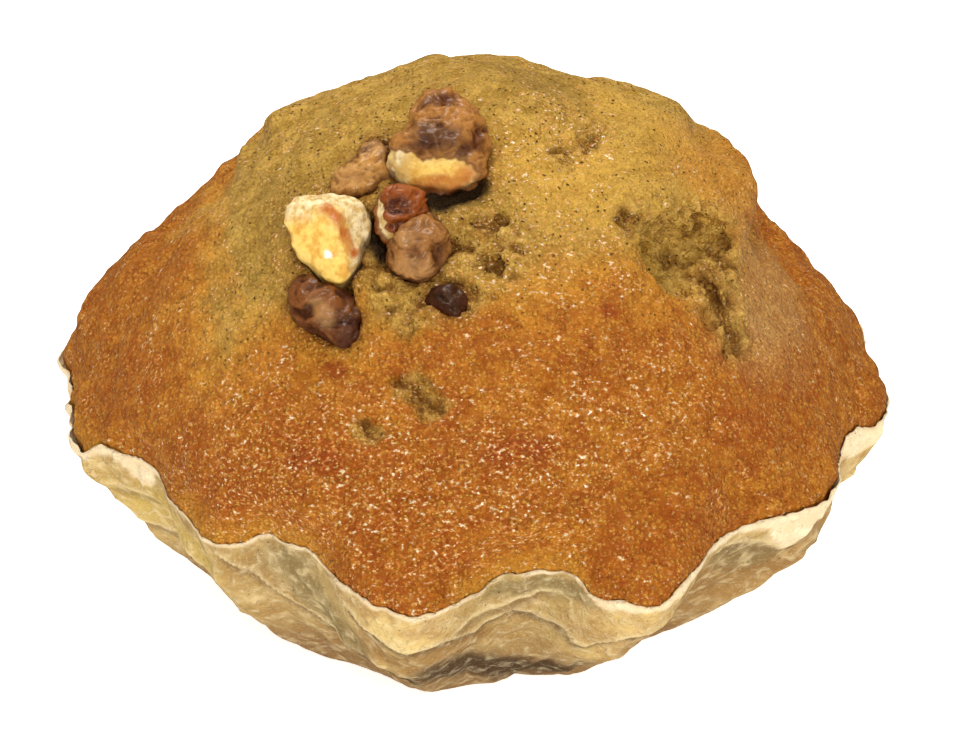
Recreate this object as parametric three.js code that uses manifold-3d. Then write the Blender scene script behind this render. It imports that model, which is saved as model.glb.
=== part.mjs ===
// A cinnamon walnut muffin in its paper case, in millimetres with +Z up. The origin is on the table
// under the middle of the whole. The walnut pieces lie on the side of the crown that faces -Y, a little
// towards -X, and the torn flap of crust is on the +X side.
import * as THREE from "three";
import { mergeVertices } from "three/addons/utils/BufferGeometryUtils.js";
import { ImprovedNoise } from "three/addons/math/ImprovedNoise.js";
import Module from "manifold-3d";

const wasm = await Module();
wasm.setup();

// Driving dimensions of the paper case
const baseRadius = 24.2;
const baseMiddle = { x: -1.0, y: -0.4 };
const rimHeight = 26;
const meanRimRadius = 45;
const paperThickness = 0.35;
const collarHeight = 1.5;
const collarLean = 0.35;
const collarRaggedness = { height: 0.35, waves: 7 };

// How the wall of the case goes up: how full it is between foot and rim, how far the foot is tucked in
// and over what share of the height, how much of the rim's wave the foot has, and how high the swelling
// of a pleat sits
const wallBulge = 0.3;
const footRounding = 1.0;
const footShare = 0.1;
const footWave = 0.18;
const swellLevel = 1.6;

// Driving dimensions of the crown, how square its profile is, and the share of its radius past which it
// turns from round to the outline of the pleats
const crownRadius = 46.5;
const domeHeight = 39;
const domeRoundness = 1.75;
const domeFullness = 0.8;
const pleatedFrom = 0.89;
const rimLevelFrom = 0.7;

// Clearances between the crumb and the paper, and round a walnut piece in its pocket
const gap = 0.35;
const pocketGap = 0.45;

// The uneven crust, as waves of a height and a number of turns to the millimetre
const crustWaves = [
  { height: 0.9, rate: 0.11 },
  { height: 0.45, rate: 0.3 },
];

// Mesh density: the crown has this many rings, and six more points on each ring than on the one inside
// it. The rings draw closer towards the rim, and the wall has a row of points at each of these shares of
// its height.
const crownRings = 24;
const ringCrowding = 0.22;
const aroundCount = 6 * crownRings;
const wallShares = [0.07, 0.26, 0.5, 0.77, 1];
const footRingShare = 0.03;

// The rim of the paper, anticlockwise from +X: the tips and valleys of its pleats as an angle in
// degrees, the radius outside the paper, the level against rimHeight, and how far the wall below swells
// out
const rimOutline = [
  [4, 46.0, 0.3, 0.3], [17, 46.6, 0, 0.2], [31, 43.8, 0.8, 0], [45, 47.0, -0.6, 0.6],
  [60, 42.4, 0.9, 0], [74, 46.2, -0.2, 0.2], [88, 43.2, 0.7, 0], [101, 47.2, -0.8, 0.8],
  [114, 42.2, 0.9, 0], [127, 46.2, -0.3, 0.2], [139, 43.4, 0.6, 0], [151, 46.8, -0.4, 0.4],
  [163, 45.2, 0.2, 0], [174, 47.9, -0.2, 0.2], [186, 46.2, -0.2, 0], [198, 46.4, -1.4, 0.9],
  [210, 41.8, 0.5, 0.6], [230, 43.6, -0.6, 1.9], [237, 41.0, 0.8, 1.4], [242, 41.0, 0.8, 1.3],
  [261, 47.9, -1.0, 1.4], [274, 41.5, 0.8, 0.2], [280, 41.6, 0.8, 0.2], [293, 49.2, -0.9, 0.3],
  [310, 43.0, 0.6, 0], [326, 46.6, -0.7, 2.8], [340, 44.2, 0.3, 1.6], [349, 47.7, -0.5, 1.2],
];

// Swellings and hollows of the crown: the place in plan, how far each reaches and how far it rises
const swellings = [
  { x: -44, y: 3, reach: 14, rise: 2.7 },
  { x: -30, y: 5, reach: 8, rise: -0.8 },
  { x: -21, y: 12, reach: 9, rise: 1.5 },
  { x: 36, y: 4, reach: 10, rise: -3.6 },
  { x: 36, y: 14, reach: 10, rise: -2.6 },
  { x: 12, y: -9, reach: 8, rise: -0.7 },
  { x: -1, y: -22, reach: 8, rise: -1.4 },
  { x: 3, y: 30, reach: 20, rise: 1.6 },
];

// The torn flap of crust: its middle in plan, its reach, how far it is lifted, how wide its cliff is,
// how much longer it is than wide, and the waves of its torn edge
const flap = { x: 19.4, y: 0.2, reach: 12.9, rise: 2.7, cliff: 2.0, narrowing: 0.75 };
const flapEdge = { height: 1.4, rate: 0.22, seed: 8.1 };

// Pits and cracks in the crown: the place in plan, the heading of the length in degrees, half the
// length, half the width, the depth, and how far the middle lies under the surface. A deep pit is made
// of more faces.
const pitLumps = { height: 0.4, rate: 1.6 };
const deepPit = 2;
const pits = [
  { x: 21.8, y: -15.4, heading: 80, length: 5.6, width: 4.6, depth: 4.4, sunk: 0 },
  { x: 25.0, y: -12.0, heading: 20, length: 3.6, width: 2.8, depth: 2.6, sunk: 1.6 },
  { x: 26.2, y: -19.0, heading: 105, length: 3.6, width: 1.3, depth: 2.6, sunk: 0 },
  { x: 27.8, y: -22.0, heading: 110, length: 2.4, width: 0.9, depth: 1.8, sunk: 0 },
  { x: 16.2, y: -16.2, heading: 150, length: 1.9, width: 1.4, depth: 1.6, sunk: 0.2 },
  { x: 2.8, y: -19.4, heading: 40, length: 1.5, width: 1.0, depth: 1.4, sunk: 0.1 },
  { x: 2.4, y: -23.2, heading: 60, length: 1.4, width: 1.1, depth: 1.5, sunk: 0.1 },
  { x: -4.8, y: -33.8, heading: 130, length: 2.4, width: 1.0, depth: 1.3, sunk: 0 },
  { x: -10.9, y: -35.4, heading: 80, length: 1.0, width: 0.9, depth: 1.2, sunk: 0 },
];

// Each walnut piece is described in a plane of its own that leans back over the crust. The list gives
// its place in plan on the crown, how far its middle stands off the crust, how far above -Y the normal
// of its plane points, its outline as corners across and up the plane, how far it comes forward and goes
// back from the plane, its cut faces as a direction and a distance from the middle, and how wrinkled it
// is. An upper piece comes before a lower one.
const walnutSquareness = 2.4;
const walnutFolds = 3.1;
const cornerRounding = [-16, -8, 0, 8, 16];
const walnuts = [
  {
    name: "walnut_cream_chunk", detail: 3,
    x: -14.5, y: -18.8, proud: 2.0, lean: 40, front: 4.2, back: 5.6, wrinkle: 0.03,
    outline: [
      [4.8, 2.3], [2.5, 4.4], [-3.4, 4.6], [-5.3, 3.3], [-3.8, -2.0], [0.3, -5.7], [1.9, -5.9], [3.2, -3.4],
    ],
    cuts: [[-0.42, -0.2, 0.88, 2.8], [0.72, 0.0, 0.69, 2.9], [0, 0.8, 0.6, 4.0]],
    color: 0xf0ce70,
  },
  {
    name: "walnut_top_quarter", detail: 3,
    x: -3.8, y: -11.0, proud: 0.8, lean: 60, front: 3.4, back: 4.6, wrinkle: 0.08,
    outline: [
      [4.6, 3.1], [2.8, 6.2], [0.3, 6.9], [-2.5, 6.2], [-2.7, 3.7], [-3.1, 0.9], [-5.6, -0.6], [-5.3, -4.0],
      [-1.3, -5.8], [1.9, -5.4], [4.4, -4.3], [5.5, -0.6],
    ],
    cuts: [[-0.15, -0.65, 0.74, 3.5]],
    color: 0x9a6a3c,
  },
  {
    name: "walnut_red_slab", detail: 2,
    x: -7.6, y: -18.0, proud: 0.5, lean: 40, front: 2.0, back: 3.4, wrinkle: 0.05,
    outline: [[2.4, -0.2], [2.9, 1.8], [0.2, 2.9], [-2.3, 2.5], [-2.6, -0.2], [-2.2, -2.9], [0.2, -2.7]],
    cuts: [[0.5, -0.1, 0.86, 1.6]],
    color: 0x824520,
  },
  {
    name: "walnut_pink_lobe", detail: 2,
    x: -5.8, y: -21.6, proud: 0.3, lean: 50, front: 2.6, back: 3.6, wrinkle: 0.1,
    outline: [[3.2, 0.6], [2.4, 3.2], [-0.4, 3.6], [-2.8, 1.8], [-3.2, -1.3], [-1.5, -3.8], [1.3, -3.5]],
    cuts: [],
    color: 0xa47547,
  },
  {
    name: "walnut_back_lobes", detail: 2,
    x: -12.2, y: -10.8, proud: -0.4, lean: 60, front: 2.4, back: 3.2, wrinkle: 0.1,
    outline: [
      [3.0, 0.0], [4.1, 2.7], [2.7, 3.9], [0.2, 3.1], [-1.6, 0.7], [-4.3, -2.6], [-1.1, -3.7], [2.0, -3.4],
    ],
    cuts: [],
    color: 0xbe8c4e,
  },
  {
    name: "walnut_lower_lobes", detail: 2,
    x: -16.1, y: -24.6, proud: 0.1, lean: 50, front: 2.4, back: 3.6, wrinkle: 0.1,
    outline: [
      [3.4, 1.0], [1.1, 2.7], [-2.1, 4.4], [-3.8, 3.0], [-3.4, 0.3], [-1.6, -2.0], [1.7, -4.3], [3.8, -5.0],
      [4.4, -2.4],
    ],
    cuts: [],
    color: 0x8f582d,
  },
  {
    name: "walnut_dark_tip", detail: 2,
    x: -2.9, y: -26.6, proud: -1.0, lean: 50, front: 1.6, back: 2.2, wrinkle: 0.1,
    outline: [[2.1, 0.2], [0.8, 1.7], [-1.6, 1.6], [-2.0, -0.4], [-0.2, -1.7], [1.4, -1.5]],
    cuts: [],
    color: 0x4a2a1c,
  },
];

const { clamp, lerp, smoothstep, degToRad, euclideanModulo } = THREE.MathUtils;
const turn = 2 * Math.PI;
const perlin = new ImprovedNoise();
const smallStep = 1e-3;

// The rim in a direction, eased from each point of its outline to the next
function rimAt(angle) {
  const degrees = euclideanModulo((angle * 360) / turn, 360);
  for (let i = 0; i < rimOutline.length; i++) {
    const here = rimOutline[i];
    const next = rimOutline[(i + 1) % rimOutline.length];
    const span = (next[0] - here[0] + 360) % 360;
    const along = (degrees - here[0] + 360) % 360;
    if (along >= span) continue;
    const eased = 0.5 - 0.5 * Math.cos((Math.PI * along) / span);
    const [radius, level, swell] = [1, 2, 3].map((k) => lerp(here[k], next[k], eased));
    return { radius, level: rimHeight + level, swell };
  }
  throw new Error("no rim at " + degrees);
}

// A point on the outside of the paper wall, at a share of the way up it
function wallPoint(angle, share) {
  const { radius: rim, level, swell } = rimAt(angle);
  const wave = footWave * (rim - meanRimRadius);
  const foot = baseRadius + wave - footRounding * (1 - smoothstep(share, 0, footShare));
  const out = share * (1 + wallBulge * (1 - share));
  const bow = swell * Math.sin(Math.PI * clamp(share, 0, 1) ** swellLevel);
  const radius = lerp(foot, rim, out) + bow;
  const x = radius * Math.cos(angle) + baseMiddle.x * (1 - share);
  const y = radius * Math.sin(angle) + baseMiddle.y * (1 - share);
  return new THREE.Vector3(x, y, share * level);
}

// The same point moved in from the outside by a distance, square to the wall
function wallInset(angle, share, inset) {
  const sideways = wallPoint(angle + smallStep, share).sub(wallPoint(angle - smallStep, share));
  const upwards = wallPoint(angle, share + smallStep).sub(wallPoint(angle, share - smallStep));
  return wallPoint(angle, share).addScaledVector(sideways.cross(upwards).normalize(), -inset);
}

// The top edge of the paper, which stands a little above the crust and leans out
function collarPoint(angle, inset) {
  const { height, waves } = collarRaggedness;
  const ragged = height * perlin.noise(waves * Math.cos(angle), waves * Math.sin(angle), rimHeight);
  const rise = collarHeight * (1 + ragged);
  const edge = wallInset(angle, 1, inset);
  const outward = collarLean * rise;
  return edge.add(new THREE.Vector3(outward * Math.cos(angle), outward * Math.sin(angle), rise));
}

// A point of the smooth crown: share is 0 at the peak and 1 at the rim, where the crust follows the pleats
function crownPoint(share, angle) {
  const edge = wallInset(angle, 1, paperThickness + gap);
  const nearRim = smoothstep(share, pleatedFrom, 1) ** 1.8;
  const rise = domeHeight * Math.max(0, 1 - share ** domeRoundness) ** domeFullness;
  const level = lerp(rimHeight, edge.z, smoothstep(share, rimLevelFrom, 1)) + rise;
  const x = share * lerp(crownRadius * Math.cos(angle), edge.x, nearRim);
  const y = share * lerp(crownRadius * Math.sin(angle), edge.y, nearRim);
  return new THREE.Vector3(x, y, level);
}

function crownNormal(share, angle) {
  const inner = Math.max(share - smallStep, smallStep);
  const around = crownPoint(inner, angle + smallStep).sub(crownPoint(inner, angle - smallStep));
  const outward = crownPoint(inner + smallStep, angle).sub(crownPoint(inner, angle));
  return outward.cross(around).normalize();
}

// How far the torn flap lifts the crust at a point: a cliff on its right, and a slow slope on its left
function flapLift(point) {
  const across = point.x - flap.x;
  const along = point.y - flap.y;
  const { height, rate, seed } = flapEdge;
  const ragged = height * perlin.noise(rate * point.x, rate * point.y, seed);
  const inside = flap.reach + ragged - Math.hypot(across, flap.narrowing * along);
  const fade = smoothstep(across, -flap.reach, 0.4 * flap.reach);
  return flap.rise * fade * smoothstep(inside, 0, flap.cliff);
}

// The crown with its swellings, its flap and its uneven crust
function crustPoint(share, angle) {
  const point = crownPoint(share, angle);
  let lift = flapLift(point);
  for (const { x, y, reach, rise } of swellings) {
    const away = point.distanceTo(crownAt(x, y)) / reach;
    if (away < 1) lift += rise * (1 - away ** 2) ** 2;
  }
  for (const { height, rate } of crustWaves) {
    lift += height * perlin.noise(rate * point.x, rate * point.y, rate * point.z);
  }
  const awayFromRim = 1 - smoothstep(share, 0.92, 0.99);
  return point.addScaledVector(crownNormal(share, angle), lift * awayFromRim);
}

// The smooth crown over a place in plan, away from the rim
function crownAt(x, y) {
  return crownPoint(Math.hypot(x, y) / crownRadius, Math.atan2(y, x));
}

// A frame on the crust over a place in plan: the point, the way out, and a heading along the crust and
// across it
function crustFrame(x, y, headingDegrees) {
  const share = Math.hypot(x, y) / crownRadius;
  const angle = Math.atan2(y, x);
  const out = crownNormal(share, angle);
  const heading = degToRad(headingDegrees);
  const along = new THREE.Vector3(Math.cos(heading), Math.sin(heading), 0);
  along.addScaledVector(out, -along.dot(out)).normalize();
  return { point: crustPoint(share, angle), out, along, across: out.clone().cross(along) };
}

function geometryOf(points, faces) {
  const geometry = new THREE.BufferGeometry();
  const numbers = points.flatMap((p) => [p.x, p.y, p.z]);
  geometry.setAttribute("position", new THREE.Float32BufferAttribute(numbers, 3));
  geometry.setIndex(faces.flat());
  return geometry;
}

// Faces of a disc whose ring k has 6k points, with vertex 0 in the middle
function discFaces(rings) {
  const faces = [];
  const start = (ring) => 1 + 3 * ring * (ring - 1);
  for (let ring = 0; ring < rings; ring++) {
    const inner = (i) => (ring === 0 ? 0 : start(ring) + (i % (6 * ring)));
    const outer = (i) => start(ring + 1) + (i % (6 * (ring + 1)));
    for (let sector = 0; sector < 6; sector++) {
      for (let i = 0; i <= ring; i++) {
        const a = sector * (ring + 1) + i;
        const b = sector * ring + i;
        faces.push([inner(b), outer(a), outer(a + 1)]);
        if (i < ring) faces.push([inner(b), outer(a + 1), inner(b + 1)]);
      }
    }
  }
  return faces;
}

// Rings of the same count, each joined to the one before it, where the first ring starts at a vertex
function bandFaces(first, ringCount) {
  const faces = [];
  for (let ring = 0; ring < ringCount; ring++) {
    const upper = first + ring * aroundCount;
    for (let i = 0; i < aroundCount; i++) {
      const j = (i + 1) % aroundCount;
      const lower = upper + aroundCount;
      faces.push([upper + i, lower + i, lower + j]);
      faces.push([upper + i, lower + j, upper + j]);
    }
  }
  return faces;
}

function ringOf(place) {
  return Array.from({ length: aroundCount }, (_, i) => place((turn * i) / aroundCount));
}

// The foot ring at the level of the inset, and a fan that closes it to a middle set off from the axis
function footRing(inset) {
  return ringOf((angle) => wallInset(angle, footRingShare, inset).setZ(inset));
}

function fanFaces(first, middle, facingDown) {
  const faces = [];
  for (let i = 0; i < aroundCount; i++) {
    const here = first + i;
    const next = first + ((i + 1) % aroundCount);
    faces.push(facingDown ? [middle, next, here] : [middle, here, next]);
  }
  return faces;
}

const fanMiddle = new THREE.Vector3(4, 3, 0);

// The whole crumb under its crust: the crown, the wall against the paper and the flat bottom
function crumbGeometry() {
  const inset = paperThickness + gap;
  const points = [crustPoint(0, 0)];
  for (let ring = 1; ring <= crownRings; ring++) {
    const even = ring / crownRings;
    const share = even * (1 + ringCrowding * (1 - even));
    for (let i = 0; i < 6 * ring; i++) points.push(crustPoint(share, (turn * i) / (6 * ring)));
  }
  const rim = points.length - aroundCount;
  const below = wallShares.slice(0, -1).reverse();
  for (const share of below) points.push(...ringOf((angle) => wallInset(angle, share, inset)));
  const foot = points.length;
  points.push(...footRing(inset), fanMiddle.clone().setZ(inset));
  const faces = [
    ...discFaces(crownRings),
    ...bandFaces(rim, below.length + 1),
    ...fanFaces(foot, points.length - 1, true),
  ];
  return geometryOf(points, faces);
}

// The paper case: an open cup with the same pleats inside and out
function caseGeometry() {
  const outside = wallShares.map((share) => ringOf((angle) => wallInset(angle, share, 0)));
  const inside = wallShares.map((share) => ringOf((angle) => wallInset(angle, share, paperThickness)));
  const rings = [
    footRing(paperThickness),
    ...inside,
    ringOf((angle) => collarPoint(angle, paperThickness)),
    ringOf((angle) => collarPoint(angle, 0)),
    ...outside.reverse(),
    ringOf((angle) => wallPoint(angle, 0)),
  ];
  const points = [
    ...rings.flat(),
    fanMiddle.clone().setZ(paperThickness),
    fanMiddle.clone(),
  ];
  const lastRing = (rings.length - 1) * aroundCount;
  const faces = [
    ...bandFaces(0, rings.length - 1),
    ...fanFaces(0, points.length - 2, false),
    ...fanFaces(lastRing, points.length - 1, true),
  ];
  return geometryOf(points, faces);
}

// A ball of triangles whose vertices are moved to a place worked out from their direction
function lumpGeometry(detail, place) {
  const ball = new THREE.IcosahedronGeometry(1, detail);
  ball.deleteAttribute("normal");
  ball.deleteAttribute("uv");
  const lump = mergeVertices(ball, 1e-4);
  const position = lump.getAttribute("position");
  const direction = new THREE.Vector3();
  for (let i = 0; i < position.count; i++) {
    direction.fromBufferAttribute(position, i).normalize();
    const { x, y, z } = place(direction);
    position.setXYZ(i, x, y, z);
  }
  return lump;
}

function pitGeometry({ x, y, heading, length, width, depth, sunk }) {
  const { point, out, along, across } = crustFrame(x, y, heading);
  const { height, rate } = pitLumps;
  const detail = depth > deepPit ? 3 : 1;
  return lumpGeometry(detail, ({ x: ahead, y: aside, z: up }) => {
    const lumpy = 1 + height * perlin.noise(rate * ahead + x, rate * aside + y, rate * up);
    return point
      .clone()
      .addScaledVector(along, lumpy * length * ahead)
      .addScaledVector(across, lumpy * width * aside)
      .addScaledVector(out, lumpy * depth * up - sunk);
  });
}

// The distance from the middle of an outline to its edge in a direction
function outlineReach(outline, angle) {
  const rayX = Math.cos(angle);
  const rayY = Math.sin(angle);
  for (let i = 0; i < outline.length; i++) {
    const [x, y] = outline[i];
    const [nextX, nextY] = outline[(i + 1) % outline.length];
    const startSide = rayX * y - rayY * x;
    const endSide = rayX * nextY - rayY * nextX;
    if (startSide > 0 || endSide <= 0) continue;
    const share = startSide / (startSide - endSide);
    return rayX * lerp(x, nextX, share) + rayY * lerp(y, nextY, share);
  }
  throw new Error("the outline isn't round its middle");
}

// The same distance with the corners rounded off
function roundedReach(outline, angle) {
  const around = cornerRounding.map((degrees) => outlineReach(outline, angle + degToRad(degrees)));
  return around.reduce((sum, reach) => sum + reach, 0) / around.length;
}

// The distance from the middle of a walnut piece to its surface in a direction of its plane
function walnutReach(piece, direction) {
  const { x: right, y: up, z: forward } = direction;
  const reach = roundedReach(piece.outline, Math.atan2(up, right));
  const height = forward > 0 ? piece.front : piece.back;
  const flatPart = (Math.hypot(right, up) / reach) ** walnutSquareness;
  const deepPart = (Math.abs(forward) / height) ** walnutSquareness;
  let distance = (flatPart + deepPart) ** (-1 / walnutSquareness);
  const rate = walnutFolds;
  const folds = perlin.noise(rate * right + piece.x, rate * up, rate * forward + piece.y);
  distance *= 1 + 2 * piece.wrinkle * folds;
  for (const [x, y, z, depth] of piece.cuts) {
    const facing = (right * x + up * y + forward * z) / Math.hypot(x, y, z);
    if (facing > 0) distance = Math.min(distance, depth / facing);
  }
  return distance;
}

function walnutGeometry(piece, offset) {
  const lean = degToRad(piece.lean);
  const up = new THREE.Vector3(0, Math.sin(lean), Math.cos(lean));
  const forward = new THREE.Vector3(0, -Math.cos(lean), Math.sin(lean));
  const { point, out } = crustFrame(piece.x, piece.y, 0);
  const middle = point.addScaledVector(out, piece.proud);
  return lumpGeometry(piece.detail, (direction) => {
    const distance = walnutReach(piece, direction) + offset;
    return middle
      .clone()
      .add(new THREE.Vector3(distance * direction.x, 0, 0))
      .addScaledVector(up, distance * direction.y)
      .addScaledVector(forward, distance * direction.z);
  });
}

function solidOf(geometry) {
  const merged = mergeVertices(geometry, 1e-4);
  const vertProperties = new Float32Array(merged.getAttribute("position").array);
  const triVerts = new Uint32Array(merged.getIndex().array);
  return new wasm.Manifold(new wasm.Mesh({ numProp: 3, vertProperties, triVerts }));
}

// What is left of a solid once others are cut away, without any scrap that the cuts set loose
function cutAway(solid, cutters) {
  const left = cutters.reduce((rest, cutter) => rest.subtract(cutter), solid);
  const bodies = left.decompose();
  return bodies.reduce((largest, body) => (body.volume() > largest.volume() ? body : largest));
}

function meshOf(solid, name, color, roughness) {
  const { vertProperties, triVerts } = solid.getMesh();
  const geometry = new THREE.BufferGeometry();
  geometry.setAttribute("position", new THREE.BufferAttribute(vertProperties, 3));
  geometry.setIndex(new THREE.BufferAttribute(triVerts, 1));
  const mesh = new THREE.Mesh(geometry, new THREE.MeshStandardMaterial({ color, roughness }));
  mesh.name = name;
  return mesh;
}

const muffin = new THREE.Group();
const pockets = [];
for (const piece of walnuts) {
  const solid = cutAway(solidOf(walnutGeometry(piece, 0)), pockets);
  muffin.add(meshOf(solid, piece.name, piece.color, 0.5));
  pockets.push(solidOf(walnutGeometry(piece, pocketGap)));
}

const hollows = [...pockets, ...pits.map((pit) => solidOf(pitGeometry(pit)))];
const crumb = cutAway(solidOf(crumbGeometry()), hollows);
muffin.add(meshOf(crumb, "muffin_crumb", 0xb9712f, 0.45));
muffin.add(meshOf(solidOf(caseGeometry()), "paper_case", 0xc9a86a, 0.6));

// The origin is moved under the middle of the whole
const extent = new THREE.Box3().setFromObject(muffin);
const extentMiddle = extent.getCenter(new THREE.Vector3());
muffin.position.set(-extentMiddle.x, -extentMiddle.y, 0);

export default muffin;
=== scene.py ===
# %% [markdown]
# # A cinnamon walnut muffin in its paper case
#
# The solid model already fixes where each piece is and how large it is. This lesson dresses it: a
# baked crust with torn crumb, seven walnut pieces and a crumpled greaseproof case. Every length
# below is in metres, and MM turns the millimetres of a kitchen ruler into them.

import math
import random

import bmesh
import bpy
import numpy as np
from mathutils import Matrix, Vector, noise
from mathutils.bvhtree import BVHTree


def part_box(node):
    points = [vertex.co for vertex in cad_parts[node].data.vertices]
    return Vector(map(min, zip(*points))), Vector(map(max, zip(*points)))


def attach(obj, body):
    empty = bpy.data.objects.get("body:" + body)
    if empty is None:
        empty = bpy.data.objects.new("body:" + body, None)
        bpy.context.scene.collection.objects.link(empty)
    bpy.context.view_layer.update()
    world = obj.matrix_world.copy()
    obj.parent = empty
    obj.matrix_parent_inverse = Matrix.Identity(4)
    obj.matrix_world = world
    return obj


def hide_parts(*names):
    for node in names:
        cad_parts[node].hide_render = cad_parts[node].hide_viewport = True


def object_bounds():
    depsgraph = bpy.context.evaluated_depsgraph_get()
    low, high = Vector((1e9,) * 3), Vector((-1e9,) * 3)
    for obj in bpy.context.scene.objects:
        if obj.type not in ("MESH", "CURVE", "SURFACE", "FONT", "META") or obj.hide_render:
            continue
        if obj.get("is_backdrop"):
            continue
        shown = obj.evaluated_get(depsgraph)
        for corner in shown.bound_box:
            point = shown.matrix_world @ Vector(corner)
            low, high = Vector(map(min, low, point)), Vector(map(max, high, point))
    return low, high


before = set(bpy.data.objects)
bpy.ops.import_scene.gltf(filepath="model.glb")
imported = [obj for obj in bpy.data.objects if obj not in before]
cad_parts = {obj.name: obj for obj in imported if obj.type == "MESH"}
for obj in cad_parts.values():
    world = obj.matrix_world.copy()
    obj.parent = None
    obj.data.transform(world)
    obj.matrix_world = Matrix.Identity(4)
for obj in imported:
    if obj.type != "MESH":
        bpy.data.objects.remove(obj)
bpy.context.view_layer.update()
MM = 0.001

# %% [markdown]
# ## Camera, light and table
#
# The photograph looks down on the muffin at 31 degrees through a long lens, from less than half a
# metre away. A wide soft light hangs over the back of the crown, a weaker one fills the front, and
# a white room lights the rest, so the shadows stay pale. Only the two lamps show in the gloss, so
# that the crust glitters but has no milky haze. The view transform is the plain one, because the
# yellows and browns of baking turn grey in a filmic one.

# %% The camera
LOOK_DOWN = math.radians(31)
AIM = Vector((0.99, 0.98, 26.9)) * MM
CAMERA_DISTANCE = 420 * MM
SENSOR_WIDTH = 36
LENS = 135.75
NEAREST_SEEN = 10 * MM
backwards = Vector((0, -math.cos(LOOK_DOWN), math.sin(LOOK_DOWN)))
bpy.ops.object.camera_add(
    location=AIM + CAMERA_DISTANCE * backwards, rotation=(math.pi / 2 - LOOK_DOWN, 0, 0)
)
camera = bpy.context.object
camera.data.sensor_width = SENSOR_WIDTH
camera.data.lens = LENS
camera.data.clip_start = NEAREST_SEEN
bpy.context.scene.camera = camera
print("the camera stands at", [round(v / MM) for v in camera.location], "mm")


# %% Soft lights and a white room
def soft_light(place, size, power, warmth):
    """A square lamp that faces the middle of the muffin."""
    bpy.ops.object.light_add(type="AREA", location=place)
    lamp = bpy.context.object
    lamp.rotation_euler = (AIM - lamp.location).to_track_quat("-Z", "Y").to_euler()
    lamp.data.size = size
    lamp.data.energy = power
    lamp.data.color = warmth


soft_light(Vector((-0.04, 0.20, 0.52)), 0.24, 2.1, (1.0, 0.985, 0.96))
soft_light(Vector((0.08, -0.53, 0.41)), 0.18, 1.85, (1.0, 0.99, 0.97))
room = bpy.data.worlds.new("white_room")
room.use_nodes = True
walls = room.node_tree.nodes["Background"].inputs
walls["Color"].default_value = (1.0, 0.985, 0.965, 1)
walls["Strength"].default_value = 0.62
room.cycles_visibility.glossy = False
bpy.context.scene.world = room
bpy.context.scene.view_settings.view_transform = "Standard"
print("two lamps and a white room")

# %% [markdown]
# ## Shader sums in Python
#
# A finish is easier to read as a sum than as a picture of boxes and wires. The small class below
# holds one output of a node, and adding or multiplying two of them adds the Math node. A finish
# makes every other node by one method, from its kind, its settings and its sockets.


# %% A value and a finish
class Value:
    """One output of a shader node, with Python's arithmetic."""

    def __init__(self, finish, socket):
        self.finish = finish
        self.socket = socket

    def sum(self, operation, first, second):
        return self.finish.add("ShaderNodeMath", {"operation": operation}, {0: first, 1: second})

    def __add__(self, other):
        return self.sum("ADD", self, other)

    def __radd__(self, other):
        return self.sum("ADD", other, self)

    def __sub__(self, other):
        return self.sum("SUBTRACT", self, other)

    def __rsub__(self, other):
        return self.sum("SUBTRACT", other, self)

    def __mul__(self, other):
        return self.sum("MULTIPLY", self, other)

    def __rmul__(self, other):
        return self.sum("MULTIPLY", other, self)

    def __abs__(self):
        return self.sum("ABSOLUTE", self, 0)


def paint(red, green, blue):
    """A colour as a screen shows it, 0 to 255, turned into light."""
    parts = [value / 255 for value in (red, green, blue)]
    return (*[v / 12.92 if v < 0.04045 else ((v + 0.055) / 1.055) ** 2.4 for v in parts], 1.0)


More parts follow.
